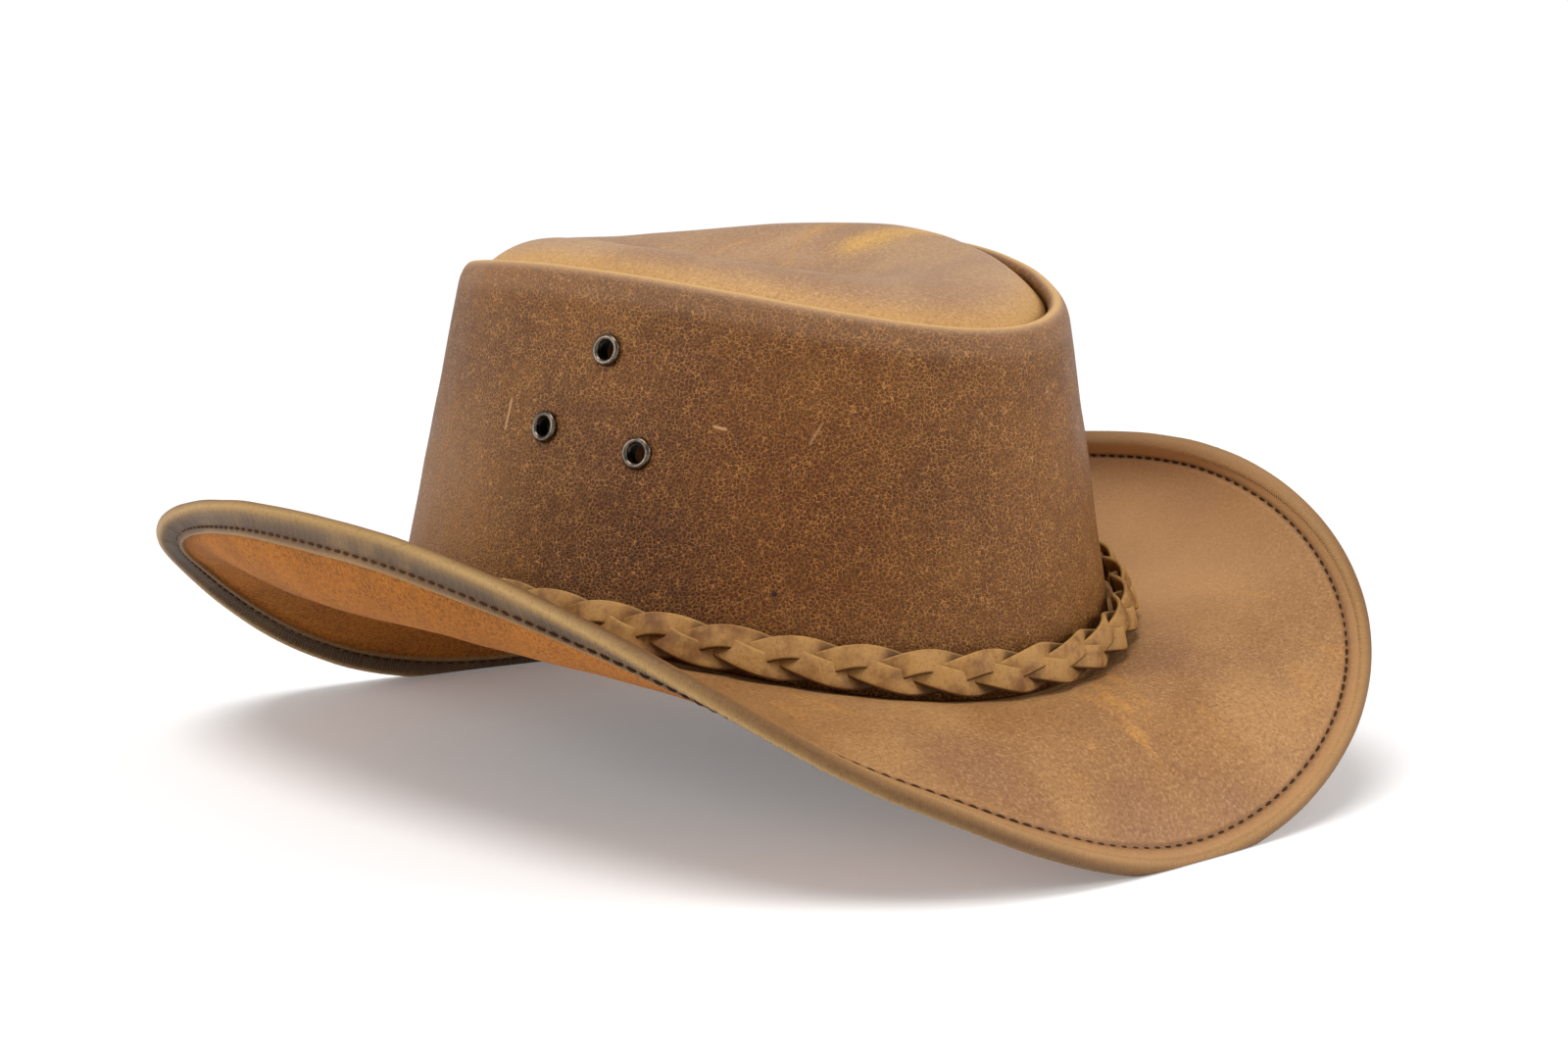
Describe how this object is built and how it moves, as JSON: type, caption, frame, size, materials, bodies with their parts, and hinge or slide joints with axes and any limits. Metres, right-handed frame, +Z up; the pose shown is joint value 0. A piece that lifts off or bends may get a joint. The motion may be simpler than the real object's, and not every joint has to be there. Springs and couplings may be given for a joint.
{
  "type": "leather bush hat",
  "caption": "Leather bush hat with a tapered crown, a domed tip inside a rolled rim, a wide wired brim curled up at the sides, a braided leather band and side eyelets.",
  "frame": {"origin": "under the middle of the hat's outer box, on the surface that it rests on", "axes": "+Z up, +Y towards the front of the hat, +X towards the wearer's right"},
  "size_m": [0.235, 0.3116, 0.134],
  "materials": {
    "crown_leather": "semi-gloss brown leather, finely crackled",
    "tip_leather": "smooth waxed tan leather",
    "brim_leather": "smooth waxed tan leather above, suede below",
    "lace_leather": "waxed tan laces with raw cut edges",
    "eyelet_metal": "dark antique metal, satin"
  },
  "bodies": {
    "root": {"crown_side": "crown_leather", "crown_tip": "tip_leather", "brim": "brim_leather", "band_lace_a": "lace_leather", "band_lace_b": "lace_leather", "band_lace_c": "lace_leather", "eyelet_right_top": "eyelet_metal", "eyelet_right_front": "eyelet_metal", "eyelet_right_back": "eyelet_metal", "eyelet_left_top": "eyelet_metal", "eyelet_left_front": "eyelet_metal", "eyelet_left_back": "eyelet_metal"}
  },
  "joints": []
}
